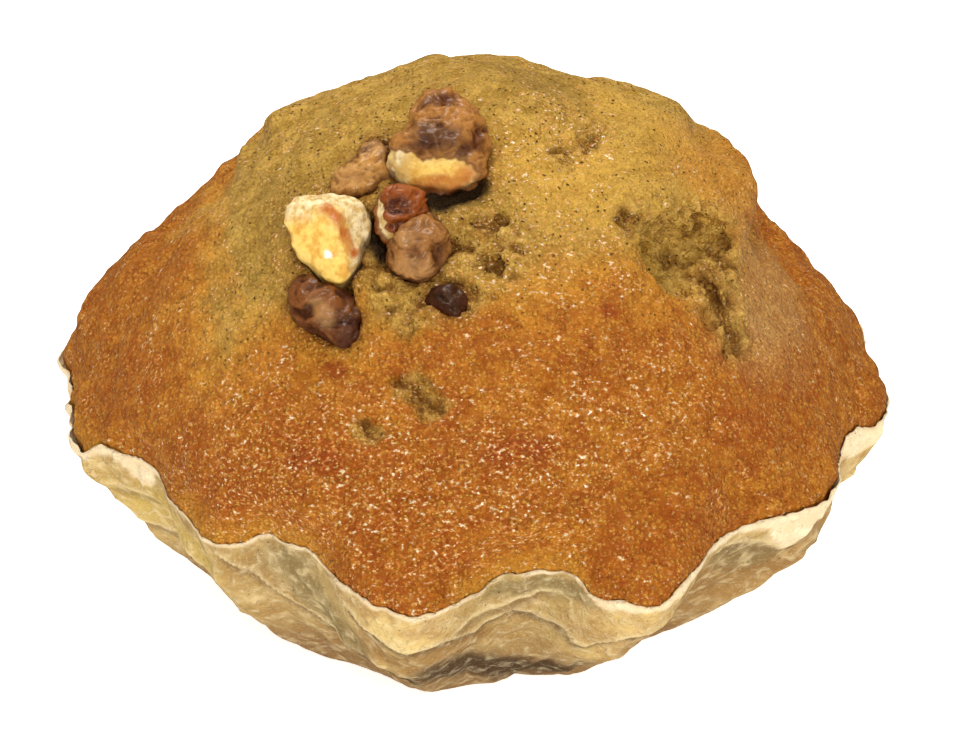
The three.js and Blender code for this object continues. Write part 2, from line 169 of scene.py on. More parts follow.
class Finish:
    """A material on a piece, built up node by node."""

    def __init__(self, name):
        self.material = bpy.data.materials.new(name)
        self.material.use_nodes = True
        self.tree = self.material.node_tree
        self.shader = self.tree.nodes["Principled BSDF"]
        place = self.add("ShaderNodeTexCoord", output="Object")
        self.place = self.add(
            "ShaderNodeVectorMath", {"operation": "SCALE"}, {"Vector": place, "Scale": 1 / MM}
        )

    def add(self, kind, settings=None, sockets=None, output=0):
        node = self.tree.nodes.new(kind)
        for name, value in (settings or {}).items():
            setattr(node, name, value)
        for name, value in (sockets or {}).items():
            if isinstance(value, Value):
                self.tree.links.new(value.socket, node.inputs[name])
            else:
                node.inputs[name].default_value = value
        return Value(self, node.outputs[output])

    def stretched(self, place, shares):
        """A place whose pattern is drawn out along each axis whose share is under 1."""
        return self.add("ShaderNodeVectorMath", {"operation": "MULTIPLY"}, {0: place, 1: shares})

    def bent(self, size, reach):
        """The place in millimetres, pushed about by up to reach in swirls of size millimetres."""
        sockets = {"Vector": self.place, "Scale": 1 / size, "Detail": 2.0}
        swirl = self.add("ShaderNodeTexNoise", {}, sockets, "Color")
        settings = {"operation": "MULTIPLY_ADD"}
        return self.add(
            "ShaderNodeVectorMath", settings, {0: swirl, 1: (2 * reach,) * 3, 2: self.place}
        )

    def mottle(self, size, detail=2.0, rough=0.5, place=None):
        """Cloudy noise from 0 to 1 whose patches are size millimetres across."""
        sockets = {"Scale": 1 / size, "Detail": detail, "Roughness": rough}
        return self.add("ShaderNodeTexNoise", {}, {"Vector": place or self.place, **sockets})

    def seeds(self, size, place=None):
        """Points strewn size millimetres apart: how far the nearest is, and its own lot, 0 to 1."""
        sockets = {"Vector": place or self.place, "Scale": 1 / size}
        far = self.add("ShaderNodeTexVoronoi", {"feature": "F1"}, sockets, "Distance")
        colour = Value(self, far.socket.node.outputs["Color"])
        return far, self.add("ShaderNodeSeparateColor", {}, {"Color": colour}, "Red")

    def ease(self, value, low, high, start=0.0, end=1.0):
        """start under low, end over high, and a soft step between them."""
        sockets = {"Value": value, "From Min": low, "From Max": high, "To Min": start, "To Max": end}
        return self.add("ShaderNodeMapRange", {"interpolation_type": "SMOOTHSTEP"}, sockets)

    def dots(self, size, reach, share, place=None):
        """Round dots, reach millimetres in radius, on a share of the points strewn size apart."""
        far, lot = self.seeds(size, place)
        chosen = self.ease(lot - share, -0.02, 0.02, 1.0, 0.0)
        return self.ease(far, 0.6 * reach / size, reach / size, 1.0, 0.0) * chosen

    def mix(self, share, first, second):
        """Two colours by a share, on the colour sockets of a Mix node."""
        settings = {"data_type": "RGBA", "blend_type": "MIX"}
        return self.add("ShaderNodeMix", settings, {0: share, 6: first, 7: second}, 2)

    def mask(self, name):
        """A mask that the mesh carries, made when the piece was shaped."""
        return self.add("ShaderNodeAttribute", {"attribute_name": name}, {}, "Fac")

    def finish(self, colour, roughness, height, depth, constants=None):
        """Colour, roughness and a bump of height times depth in millimetres on the shader."""
        normal = self.add("ShaderNodeBump", {}, {"Height": height, "Distance": depth * MM}, "Normal")
        for name, value in (("Base Color", colour), ("Roughness", roughness), ("Normal", normal)):
            self.tree.links.new(value.socket, self.shader.inputs[name])
        for name, value in (constants or {}).items():
            self.shader.inputs[name].default_value = value
        return self.material


# %% [markdown]
# ## Working on a piece
#
# Each piece starts as a merged copy of its solid or as a primitive. It is refined by a modifier
# that is applied at once, and then its points are moved by a height that depends on their place,
# as a sculptor's brush would. A stroke is such a brush drawn along a few places. The masks that
# steer the moves stay on the mesh, so that the finish can follow them.


# %% Helpers for meshes
def select(piece):
    bpy.ops.object.select_all(action="DESELECT")
    piece.select_set(True)
    bpy.context.view_layer.objects.active = piece


def merged_copy(node, name):
    """A new object with a node's mesh, whose loose triangles are joined at their corners."""
    piece = bpy.data.objects.new(name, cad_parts[node].data.copy())
    bpy.context.scene.collection.objects.link(piece)
    piece.data.materials.clear()
    select(piece)
    bpy.ops.object.mode_set(mode="EDIT")
    bpy.ops.mesh.select_all(action="SELECT")
    bpy.ops.mesh.remove_doubles(threshold=0.002 * MM)
    bpy.ops.object.mode_set(mode="OBJECT")
    return piece


def modify(piece, kind, **settings):
    select(piece)
    modifier = piece.modifiers.new(kind.title(), kind)
    for name, value in settings.items():
        setattr(modifier, name, value)
    bpy.ops.object.modifier_apply(modifier=modifier.name)


def places(piece):
    """Every vertex of a piece, one row each, in millimetres."""
    flat = np.empty(3 * len(piece.data.vertices))
    piece.data.vertices.foreach_get("co", flat)
    return flat.reshape(-1, 3) / MM


def directions(piece):
    flat = np.empty(3 * len(piece.data.vertices))
    piece.data.vertices.foreach_get("normal", flat)
    return flat.reshape(-1, 3)


def put_back(piece, rows):
    piece.data.vertices.foreach_set("co", (rows * MM).ravel())
    piece.data.update()


def keep_masks(piece, **masks):
    """Each mask stays on the mesh under its own name, one number for each point."""
    for name, values in masks.items():
        attribute = piece.data.attributes.new(name, "FLOAT", "POINT")
        attribute.data.foreach_set("value", np.asarray(values, np.float32))


def step(values, low, high):
    """0 under low, 1 over high, and a soft step between them."""
    share = np.clip((values - low) / (high - low), 0, 1)
    return share * share * (3 - 2 * share)


def from_table(table, angle):
    """The value at each angle in degrees, on straight lines between the pairs of a table."""
    return np.interp(angle, *zip(*table))


def waves(rows, size, seed=0.0, stretch=(1, 1, 1)):
    """Smooth noise between about -1 and 1 at each row, with waves of size millimetres."""
    scaled = rows / (size * np.array(stretch)) + seed
    return np.array([noise.noise(Vector(row)) for row in scaled])


def from_path(rows, path):
    """How far each row is from a line through a few places, in millimetres."""
    path = np.array(path, float)
    nearest = np.linalg.norm(rows - path[0], axis=1)
    for start, end in zip(path[:-1], path[1:]):
        run = end - start
        along = np.clip((rows - start) @ run / (run @ run), 0, 1)[:, None]
        nearest = np.minimum(nearest, np.linalg.norm(rows - start - along * run, axis=1))
    return nearest


def strokes(rows, marks, uneven=0.0, soft=0.3):
    """A mask of brush strokes, each with its reach and the places that it runs through."""
    mask = np.zeros(len(rows))
    for reach, *path in marks:
        near = from_path(rows, path) + uneven
        mask = np.maximum(mask, 1 - step(near, (0.85 - soft) * reach, (0.85 + soft) * reach))
    return mask


def tree_of(piece):
    """A tree of a piece's faces, for rays and nearest points."""
    mesh = piece.data
    return BVHTree.FromPolygons([v.co for v in mesh.vertices], [p.vertices for p in mesh.polygons])


def distances(rows, tree, most=9.0):
    """How far each row is from the faces in a tree, in millimetres."""
    found = (tree.find_nearest(row, most * MM)[3] for row in rows * MM)
    return np.array([most if far is None else far / MM for far in found])


def finish_piece(piece, node, material):
    piece.data.materials.append(material)
    select(piece)
    bpy.ops.object.shade_smooth()
    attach(piece, "root")
    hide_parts(node)
    print(piece.name, sum(len(p.vertices) - 2 for p in piece.data.polygons), "triangles")


# %% [markdown]
# ## The paper case
#
# The case is one thin sheet of greaseproof paper that the oven and the rising crumb have pushed
# about: soft pleats, sharp small creases, folds that lap over each other, and a dry top edge that
# clings to the crust in front and stands clear of it at the sides. A flat grid is the sheet before
# it is rolled. Each of its points is laid on the wall of the solid, moved by the creases, and the
# sheet gets its thickness last. It comes before the crumb, because the crumb swells against it.

# %% The grid, and the wall that it is laid on
AROUND = 600
UP = 78
WELL_OUTSIDE = 80
HIGHEST_EDGE = 29.0
wall_tree = tree_of(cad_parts["paper_case"])


def wall_radius(angle, level):
    """How far out the wall stands, in millimetres, or None over its top edge."""
    outward = Vector((math.cos(angle), math.sin(angle), 0))
    start = outward * WELL_OUTSIDE * MM + Vector((0, 0, level * MM))
    hit = wall_tree.ray_cast(start, -outward)[0]
    return None if hit is None or hit.dot(outward) < 0 else math.hypot(hit.x, hit.y) / MM


def top_level(angle):
    level = HIGHEST_EDGE
    while wall_radius(angle, level) is None:
        level -= 0.1
    return level


angles = 2 * np.pi * np.arange(AROUND) / AROUND
tops = np.array([top_level(angle) for angle in angles])
print("the top edge runs from", round(tops.min(), 1), "to", round(tops.max(), 1), "mm")

# %% The sheet is rolled on the wall
MEAN_RADIUS = 40
FOOT_LEVEL = 0.08
LOWERED_BY = 0.05
bpy.ops.object.select_all(action="DESELECT")
bpy.ops.mesh.primitive_grid_add(x_subdivisions=AROUND, y_subdivisions=UP, size=2)
paper = bpy.context.object
paper.name = "paper_case_sheet"
flat = places(paper) * MM
columns = np.rint((flat[:, 0] + 1) / 2 * AROUND).astype(int) % AROUND
rings = np.rint((flat[:, 1] + 1) / 2 * UP).astype(int)
shares = rings / UP
levels = np.maximum(shares * tops[columns], FOOT_LEVEL)
lowered = levels - LOWERED_BY
radii = np.array([wall_radius(angles[c], level) or 0 for c, level in zip(columns, lowered)])
turn = angles[columns]
degrees = np.degrees(turn)
wall = np.stack([radii * np.cos(turn), radii * np.sin(turn), lowered], axis=1)
around_mm = np.stack([MEAN_RADIUS * np.cos(turn), MEAN_RADIUS * np.sin(turn), levels], axis=1)
below_edge = tops[columns] - levels

# %% Folds that lap over the paper below them
# Each fold runs through pairs of an angle in degrees and a level in millimetres, and its paper
# stands out by the first number. The front ones are those of the photograph.
FOLDS = [
    (0.9, (249, 26.0), (252, 23.9), (255, 21.6), (258.6, 20.9), (262.3, 20.2), (265.7, 20.3),
     (270.4, 18.7), (273.5, 19.7), (277.8, 22.4)),
    (0.45, (266, 20.0), (270, 22.1), (273.7, 22.1), (277.1, 23.4), (281.9, 24.6), (285, 24.4)),
    (0.8, (274, 22.0), (277.1, 20.9), (282.2, 19.1), (284.7, 18.7), (286.4, 16.7), (288.1, 16.2),
     (289.6, 18.2), (291.4, 20.6), (297, 20.8)),
    (0.5, (228, 26.0), (233.5, 22.8), (237.3, 18.8), (243, 15.5), (250, 12.5)),
    (0.45, (199, 22.0), (205, 22.4), (211, 21.8), (218, 20.3), (226, 18.6)),
    (0.35, (307, 25.0), (313, 25.2), (317, 24.0), (321, 21.9), (324, 24.4), (328, 25.2)),
]
# How far the front of the wall is pushed in, over how many millimetres, and where
DENTS = [
    (1.9, 6, (204, 17.5), (206, 14.5)), (1.8, 6, (287, 1.0), (290, 6.0)),
    (0.4, 5, (321, 15.0), (324, 19.5)),
]
chance = random.Random(11)
for start in range(345, 555, 17):
    level = chance.uniform(15, 23)
    fold = [(start % 360 + turned, level + chance.uniform(-1.8, 1.8)) for turned in range(0, 24, 4)]
    FOLDS.append((chance.uniform(0.3, 0.8), *fold))
laps = np.zeros(len(wall))
# Each fold also gets a painted highlight just over its edge and a painted shadow on the paper under its
# lap.
fold_lines = np.zeros(len(wall))
under_laps = np.zeros(len(wall))
for out, *path in FOLDS:
    at, height = zip(*path)
    over = levels - np.interp(degrees, at, height) + 0.35 * waves(around_mm, 1.7, 4)
    held = step(degrees, at[0], at[0] + 3) * (1 - step(degrees, at[-1] - 3, at[-1]))
    laps += out * held * step(over, -0.35, 0.35) * np.exp(-np.maximum(over, 0) / 2.4)
    fold_lines = np.maximum(fold_lines, held * np.exp(-(((over - 0.35) / 0.5) ** 2)))
    under_laps = np.maximum(under_laps, held * np.exp(-(((over + 0.7) / 0.8) ** 2)) * min(out * 1.4, 1))
print(len(FOLDS), "folds")

# %% Creases and the ragged top edge
# Pairs of an angle and how ragged the edge is there, or how many millimetres it stands off the crust
EDGE_RAGGED = [(0, 0.7), (150, 0.8), (185, 1.5), (207, 1.3), (216, 0.5), (225, 0.3), (310, 0.3),
               (318, 0.7), (335, 0.8), (360, 0.7)]
EDGE_STANDS_OUT = [(0, -0.2), (60, 0.2), (150, 0.2), (184, 0.1), (194, 0.8), (205, 0.7), (212, 0.2),
                   (225, -0.1), (312, 0.0), (321, 0.6), (334, 0.2), (360, -0.2)]
# The edge of the photograph has corners: how far it lies above or below that of the solid
EDGE_LIFT = [(198, 0), (204.5, 1.6), (207, 0.8), (214, 0.6), (222, -0.3), (230, -0.7), (234, -1.1),
             (237, -0.1), (245, -0.3), (249, -0.5), (255, 0.5), (259, 0.5), (262.5, -0.5), (267, -1.2),
             (271.5, -2.3), (275, -0.8), (285.3, -0.1), (286.4, -1.7), (290, -0.2), (294, -0.5),
             (298, 0.5), (303, -0.2), (312.5, -0.7), (318, 0.1), (326, 0.5), (332, 0.9), (338, -0.8),
             (341, 0.8), (346, 0)]
MM_PER_DEGREE = 0.72
ragged = from_table(EDGE_RAGGED, degrees)
stands_out = from_table(EDGE_STANDS_OUT, degrees)
sheet_rows = np.stack([degrees * MM_PER_DEGREE, levels, np.zeros(len(levels))], axis=1)


def patch(reach, *path):
    """A stroke on the flat sheet, along pairs of an angle and a level."""
    flat_path = [(angle * MM_PER_DEGREE, level, 0) for angle, level in path]
    return strokes(sheet_rows, [(reach, *flat_path)], 1.1 * waves(around_mm, 3.0, 31), 0.5)


def creases(size, seed, stretch):
    return 1 - 2 * np.abs(waves(around_mm, size, seed, stretch))


def facets(size, seed, stretch):
    """Flat facets about size millimetres across: 0 on the creases between them, 1 far from them."""
    bent = around_mm + 0.12 * size * waves(around_mm, 0.6 * size)[:, None]
    scaled = bent / (size * np.array(stretch)) + seed
    nearest = [noise.voronoi(Vector(row))[0] for row in scaled]
    return np.array([min(1.0, 2 * (far[1] - far[0])) for far in nearest])


near_top = 1 - step(below_edge, 1.5, 7.0)
near_foot = 1 - step(levels, 0.5, 4)
wide_facets = facets(8.5, 3, (1, 1, 1.7))
small_facets = facets(4.2, 7, (1, 1, 1.3))
crumple = 0.45 - 0.9 * wide_facets + 0.42 * small_facets + 0.10 * creases(1.7, 2, (1, 1, 1.2))
# Painted highlight along the creases between facets.
sharp = np.maximum(1 - step(wide_facets, 0.02, 0.14), 0.6 * (1 - step(small_facets, 0.02, 0.14)))
tooth = 0.6 * creases(4.5, 21, (1, 1, 9)) + 0.4 * creases(1.9, 9, (1, 1, 9))
move = (1 - near_foot) * (crumple * (1 - 0.6 * near_top) + laps - 0.35)
move += near_top * (stands_out + 0.6 * ragged * (small_facets - 0.4))
for depth, reach, *path in DENTS:
    move -= depth * patch(reach, *path)
outward = np.stack([np.cos(turn), np.sin(turn), np.zeros(len(turn))], axis=1)
rolled = wall + outward * move[:, None]
edge_lift = from_table(EDGE_LIFT, degrees) + 0.9 * ragged * (tooth - 0.1)
edge_lift += 0.12 * waves(around_mm, 1.2, 2)
rolled[:, 2] += (1 - step(below_edge, 0, 6)) * edge_lift
put_back(paper, rolled)

# %% The dry edge: pairs of an angle and how far down the sheet is pale there
DRY_DEPTH = [(0, 1.6), (60, 1.2), (120, 1.6), (180, 1.6), (185, 2.3), (196, 2.3), (199, 1.0), (205, 0.9),
             (207, 3.6), (210, 3.3), (212, 1.0), (217, 0.4), (232, 0.5), (246, 0.4), (262, 0.7),
             (276, 0.4), (286, 0.4), (288.5, 1.9), (291, 0.9), (297, 1.2), (300, 1.7), (305, 1.0),
             (312, 0.9), (316.5, 1.1), (320.5, 5.4), (324, 2.4), (331, 2.2), (338, 1.8), (344, 4.0),
             (350, 1.8), (360, 1.6)]
dry_edge = 0.55 * waves(around_mm, 2.2, 8, (1, 1, 2)) + 0.35 * waves(around_mm, 0.9, 18)
dry = 1 - step(below_edge - from_table(DRY_DEPTH, degrees) + dry_edge, -0.35, 0.25)
mean_radius = np.array([radii[rings == ring].mean() for ring in range(UP + 1)])
# Painted shade in the recessed pleats: from 0, 2.5 mm outside the mean wall, to 1, 2.5 mm inside it.
valley = step(mean_radius[rings] - radii, -2.5, 2.5)

# %% Colour patches of the front: an olive valley, painted dark shadow at the foot, yellow oil on the left
olive = np.maximum(patch(3.6, (241, 25), (245, 20.5), (249, 15)), patch(1.9, (274, 26), (285, 26)))
olive = np.maximum(olive, patch(2.6, (312, 23.5), (318, 21)))
# Painted shadow over the front foot.
brown = patch(3.6, (264, 11.5), (270, 9), (276, 7), (283, 5.5), (289, 6))
brown = np.maximum(brown, patch(3.0, (252, 9), (258, 10)))
yellow = patch(4.0, (203, 20), (214, 22), (224, 21))
tan = patch(6, (300, 14), (311, 17), (322, 19), (334, 20))
tan = np.maximum(tan, patch(3.5, (258, 17), (268, 16.5)))
keep_masks(
    paper, dry=dry, valley=valley, crease=sharp, fold_line=fold_lines, under_lap=under_laps,
    olive=olive, brown=brown, yellow=yellow, tan=tan,
)

# %% Closing the sheet: seam, bottom and thickness
PAPER_THICK = 0.12
select(paper)
bpy.ops.object.mode_set(mode="EDIT")
bpy.ops.mesh.select_all(action="SELECT")
bpy.ops.mesh.remove_doubles(threshold=0.01 * MM)
bpy.ops.mesh.select_all(action="DESELECT")
bpy.ops.object.mode_set(mode="OBJECT")
shell = bmesh.new()
shell.from_mesh(paper.data)
foot = [edge for edge in shell.edges if edge.is_boundary and edge.verts[0].co.z < 2 * MM]
made = bmesh.ops.extrude_edge_only(shell, edges=foot)["geom"]
ring = [item for item in made if isinstance(item, bmesh.types.BMVert)]
bmesh.ops.pointmerge(shell, verts=ring, merge_co=(0, 0, 0.03 * MM))
bmesh.ops.recalc_face_normals(shell, faces=shell.faces)
shell.to_mesh(paper.data)
shell.free()
modify(paper, "SOLIDIFY", thickness=PAPER_THICK * MM, offset=-1)
print("the case has", len(paper.data.vertices), "points")


# %% The finish of the paper
def paper_finish():
    sheet = Finish("greaseproof_paper")
    dry, valley, under = (sheet.mask(name) for name in ("dry", "valley", "under_lap"))
    blotch = sheet.mottle(5, 3, 0.55)
    cloud = sheet.mottle(1.6, 3, 0.6)
    grain = sheet.mottle(0.4, 3, 0.7)
    oily = sheet.mix(sheet.ease(blotch, 0.38, 0.6), paint(210, 178, 108), paint(178, 138, 74))
    # painted shade in the recessed pleats
    oily = sheet.mix(valley * 0.6, oily, paint(150, 116, 58))
    oily = sheet.mix(sheet.mask("tan") * 0.8, oily, paint(142, 98, 36))
    oily = sheet.mix(sheet.mask("yellow") * 0.7, oily, paint(196, 164, 70))
    oily = sheet.mix(sheet.mask("olive") * 0.8, oily, paint(128, 106, 58))
    level = sheet.add("ShaderNodeSeparateXYZ", {}, {"Vector": sheet.place}, "Z")
    # darker towards the bottom of the sheet
    oily = sheet.mix(sheet.ease(level + blotch * 8, 10, 20, 1.0, 0.0) * 0.75, oily, paint(134, 92, 46))
    oily = sheet.mix(sheet.ease(cloud, 0.52, 0.7) * 0.3, oily, paint(222, 192, 130))
    # painted highlight on the creases
    creased = sheet.mask("crease") * sheet.ease(blotch, 0.35, 0.6)
    colour = sheet.mix(creased * 0.25, oily, paint(228, 202, 146))
    # painted highlight along each fold, then painted shadow under its lap
    colour = sheet.mix(sheet.mask("fold_line") * 0.65, colour, paint(230, 206, 150))
    # painted shadow at the foot
    colour = sheet.mix(sheet.mask("brown") * 0.85, colour, paint(66, 42, 20))
    colour = sheet.mix(under * 0.7, colour, paint(96, 68, 34))
    ivory = sheet.mix(cloud, paint(220, 190, 138), paint(246, 228, 196))
    colour = sheet.mix(dry * (0.7 + cloud * 0.3), colour, ivory)
    dark_grain = sheet.ease(grain, 0.5, 0.72) * 0.38
    colour = sheet.mix(dark_grain * (1 - dry * 0.6), colour, paint(96, 74, 38))
    colour = sheet.mix(sheet.ease(grain, 0.28, 0.46, 1.0, 0.0) * 0.3, colour, paint(240, 222, 178))
    wrinkle = sheet.mottle(2.6, 2, 0.5, sheet.bent(1.5, 0.6)) - 0.5
    wrinkle = sheet.ease(abs(wrinkle), 0.0, 0.11, 1.0, 0.0)
    wrinkle = wrinkle * sheet.ease(cloud, 0.42, 0.6)
    colour = sheet.mix(wrinkle * 0.3, colour, paint(236, 214, 164))
    specks = sheet.dots(1.3, 0.15, 0.4)
    colour = sheet.mix(specks * 0.75, colour, paint(74, 50, 26))
    rough = 0.48 + grain * 0.16 + dry * 0.1
    relief = grain * 0.5 + cloud * 0.8 + wrinkle * 0.6
    return sheet.finish(colour, rough, relief, 0.25, {"Specular IOR Level": 0.35})


finish_piece(paper, "paper_case", paper_finish())

# %% [markdown]
# ## The crumb and its crust
#
# A muffin bakes from the outside: the rim browns to caramel while the middle of the crown, which
# rises last, stays yellow and soft. Where the crown tore open, the bare crumb shows. The solid has
# the large forms, so a copy of it is remeshed to one even skin of small faces, and the crust's own
# relief goes on that: broad swellings, a fine grain, wrinkles on the front and rough torn crumb.
# The skin is thinned again inside the case, where nobody sees it.

# %% A fine skin over the solid
WALNUTS = [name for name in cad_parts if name.startswith("walnut_")]
CRUMB_VOXEL = 0.46
HIDDEN_UNDER = 23
HIDDEN_KEPT = 0.58
crumb = merged_copy("muffin_crumb", "crust_and_crumb")
modify(crumb, "REMESH", mode="VOXEL", voxel_size=CRUMB_VOXEL * MM)
modify(crumb, "SMOOTH", factor=0.5, iterations=6)
group = crumb.vertex_groups.new(name="hidden")
group.add([v.index for v in crumb.data.vertices if v.co.z < HIDDEN_UNDER * MM], 1.0, "REPLACE")
modify(crumb, "DECIMATE", ratio=HIDDEN_KEPT, vertex_group="hidden")
print("the skin has", len(crumb.data.vertices), "points")

# %% The rim of the crust swells against the paper
# Pairs of an angle and how much of the gap up to the paper the crust fills there
RIM_FILLS = [(0, 0.9), (20, 0.6), (160, 0.6), (200, 0.8), (214, 1.0), (314, 1.0), (326, 0.8), (360, 0.9)]
rows = places(crumb)
rows[:, 2] = np.maximum(rows[:, 2], 0)
x, y, z = rows.T
from_axis = np.hypot(x, y)
bearing = np.degrees(np.arctan2(y, x)) % 360
column = np.rint(bearing / 360 * AROUND).astype(int) % AROUND
sheet_radius = np.zeros((AROUND, UP + 1))
sheet_level = np.zeros((AROUND, UP + 1))
sheet_radius[columns, rings] = np.hypot(rolled[:, 0], rolled[:, 1])
sheet_level[columns, rings] = rolled[:, 2]
rim_radius, rim_level = sheet_radius[column, UP], sheet_level[column, UP]
over_rim = z - rim_level
near_rim = step(from_axis, rim_radius - 6, rim_radius - 3.2)
swell = from_table(RIM_FILLS, bearing) * near_rim * np.exp(-(((over_rim - 0.6) / 2.2) ** 2))
swollen = from_axis + swell * np.maximum(rim_radius - 0.1 - from_axis, 0)
rows[:, :2] *= (swollen / np.maximum(from_axis, 1))[:, None]
put_back(crumb, rows)
print("the rim swells by up to", round((swollen - from_axis).max(), 2), "mm")

# %% Masks: where the crust is browned, orange, grey and wrinkled, and where light, glints and shade are painted
rows = places(crumb)
x, y, z = rows.T
from_axis = np.hypot(x, y)
open_crust = step(over_rim, 0.2, 3.0)
uneven = 0.8 * waves(rows, 1.9, 5) + 0.5 * waves(rows, 0.8, 15)
YELLOW_MIDDLE = (-3.0, 2.0)
YELLOW_REACH = [(0, 34), (45, 31), (90, 28), (180, 28), (205, 31), (228, 34), (250, 30), (270, 27.5),
                (300, 29), (325, 33), (345, 35), (360, 34)]
to_yellow = np.hypot(x - YELLOW_MIDDLE[0], y - YELLOW_MIDDLE[1])
yellow_bearing = np.degrees(np.arctan2(y - YELLOW_MIDDLE[1], x - YELLOW_MIDDLE[0])) % 360
cloudy = 4 * waves(rows, 11) + 2.8 * waves(rows, 4.2, 7) + 1.2 * waves(rows, 1.6, 2)
browned = step(to_yellow + cloudy - from_table(YELLOW_REACH, yellow_bearing), -7, 7)
soft_edge = 2.4 * waves(rows, 4.5, 14)
orange = strokes(rows, [
    (6.5, (28.0, 1.0, 54.0), (26.5, -5.0, 55.0)),
    (4.2, (3.2, -26.0, 51.7), (10, -23.5, 52.5), (17, -21, 52)),
], soft_edge, 0.7)
greyed = strokes(rows, [(6, (32, -8.5, 48), (33.5, -11, 43), (31, -16.5, 43.5))], soft_edge, 0.95)
wrinkled = browned * strokes(rows, [(11, (-22, -33, 36), (-10, -39, 37), (-2, -40, 37))], soft_edge)
# Where the painted glints cluster most.
sugared = strokes(rows, [
    (7, (-12, -40, 34), (-5, -42, 33)), (6, (-13, -39.5, 35.5), (-4, -41.5, 34.5)),
    (10, (-24, -33, 36), (-12, -38, 38), (4, -38.5, 39)), (6, (12, -35, 41), (20, -30, 42)),
    (6, (-1, -13, 59), (6, -14, 59), (10, -4, 61)), (5, (0, -24, 54), (12, -19, 56)),
], soft_edge, 0.7)
pale_rim = (1 - step(over_rim, 0.8, 4.0)) * strokes(rows, [
    (8, (-27, -31, 26), (-20, -35, 26)), (5, (1, -42, 27), (9, -40, 27)),
    (4, (-45, -5, 26), (-41, -20, 26)),
])
ruddy = strokes(rows, [
    (6, (-10, -44, 28), (-5, -44, 31)), (6, (17, -41, 29), (22, -37, 31)),
    (5, (-29, -29, 33), (-25, -33, 36)), (4, (-16, -36, 39), (-12, -37, 39)),
    (5, (36, -18, 39), (30, -27, 38)), (4, (-37, -14, 37)),
], soft_edge, 0.7)
# Painted light: a highlight along the lip of the big tear and brighter patches on the yellow crown.
sunny = strokes(rows, [
    (2.6, (25.1, -9.4, 55.6), (29.1, -9.4, 52.4), (30.3, -9.4, 49.3), (30.8, -12.6, 46.1)),
    (7, (6, -14, 60), (13, -11, 60)), (5, (16, 2, 62), (22, 0, 60)), (4, (-2.5, -27, 51), (6, -27, 51)),
], soft_edge, 0.7)
olive = strokes(rows, [
    (5, (-22, -17, 53), (-20, -10, 56)), (4, (4, 8, 63), (10, 2, 62.5)),
    # this stroke beside the walnuts is darker olive crumb, partly damp and partly painted shade
    (4, (2, -16.5, 59), (4, -20, 56)),
], soft_edge, 0.7)
shade = strokes(rows, [
    (2.1, (-5.8, -15.6, 59.2), (-3.2, -16.4, 59.6), (-1.5, -16.0, 59.9), (0.3, -15.0, 60.1)),
    (1.6, (-10.2, -17.2, 57.0), (-10.0, -18.6, 56.3), (-9.4, -20.6, 55.2)), (1.0, (-14.0, -25.0, 53.0)),
], 0.3 * uneven, 0.35)
print("masks for", len(rows), "points")

# %% Where it is torn open, cracked and stained
torn = strokes(rows, [
    (6.4, (24.2, -11.5, 51.0), (25.5, -14.5, 49.5)), (2.6, (17.2, -15.0, 56.3), (19.4, -12.0, 53.0)),
    (2.2, (27.0, -16.2, 47.2), (28.8, -20.0, 44.0)), (4.8, (-1.0, -19.5, 56.0), (3.2, -20.0, 54.8)),
    (3.0, (-7.0, -26.3, 51.0), (-0.5, -24.8, 53.0)), (2.6, (-9.6, -20.3, 55.9), (-8.5, -24.5, 52.6)),
    (1.8, (-6.6, -32.2, 45.4), (-3.4, -34.2, 43.8)), (1.4, (-11.2, -34.2, 41.6), (-10.2, -34.5, 41.0)),
    (1.6, (9.6, -9.4, 60.3), (14.0, -4.0, 61.2)),
], 1.1 * waves(rows, 2.4, 3))
CRACKS = [
    (1.2, (-10.2, -18.8, 56.7), (-9.6, -20.3, 55.9), (-9.0, -22.0, 54.8)), (1.3, (-13.4, -23.2, 51.8)),
    (1.0, (-5.4, -16.8, 59.8), (-3.7, -16.5, 59.5), (-1.6, -16.1, 59.6), (0.2, -15.3, 60.0)),
    (1.2, (1.2, -18.4, 57.2), (2.2, -18.6, 56.6), (2.6, -17.6, 57.0)),
    (1.2, (1.2, -21.6, 53.8), (2.8, -21.0, 53.6)), (0.6, (12.5, -7.2, 60.6), (13.8, -4.6, 61.0)),
    (0.8, (16.2, -15.2, 57.0), (17.6, -14.6, 56.1), (18.6, -13.4, 55.0)),
    (0.7, (-7.9, -31.9, 46.1), (-6.3, -32.2, 45.3), (-4.8, -33.0, 44.3), (-3.2, -34.5, 43.8)),
    (0.6, (-11.0, -34.0, 42.0), (-10.8, -34.6, 40.9)), (0.9, (26.7, -16.4, 46.9), (27.5, -18.4, 45.6)),
    (0.8, (27.5, -18.4, 45.6), (28.8, -19.8, 44.2), (28.7, -20.8, 43.2)), (0.7, (-1.4, -24.3, 53.2)),
    (0.8, (30.4, -6.5, 51.6), (31.2, -8.0, 49.2)), (1.1, (25.6, -14.6, 49.4), (25.0, -16.0, 48.8)),
]
cracked = strokes(rows, CRACKS, 0.6 * uneven, 0.45)
STAINS = [
    (1.7, (2.8, -38.2, 40.8), (5.8, -37.6, 40.9), (7.6, -37.3, 40.7)), (0.5, (13.7, -35.9, 39.3)),
    (1.0, (-15.2, -29.0, 46.2), (-14.2, -29.5, 45.9)), (0.6, (12.4, -28.0, 48.9), (12.4, -28.3, 48.4)),
    (1.2, (-18.5, -34.5, 38.2), (-14.5, -36.0, 38.5)), (0.5, (13.5, 8.2, 61.4)),
    (0.5, (-1.1, -30.7, 48.4)), (1.2, (14.5, -24.5, 50.5)),
]
stained = strokes(rows, STAINS, 1.3 * uneven, 0.75)
print(len(CRACKS), "cracks and", len(STAINS), "stains")

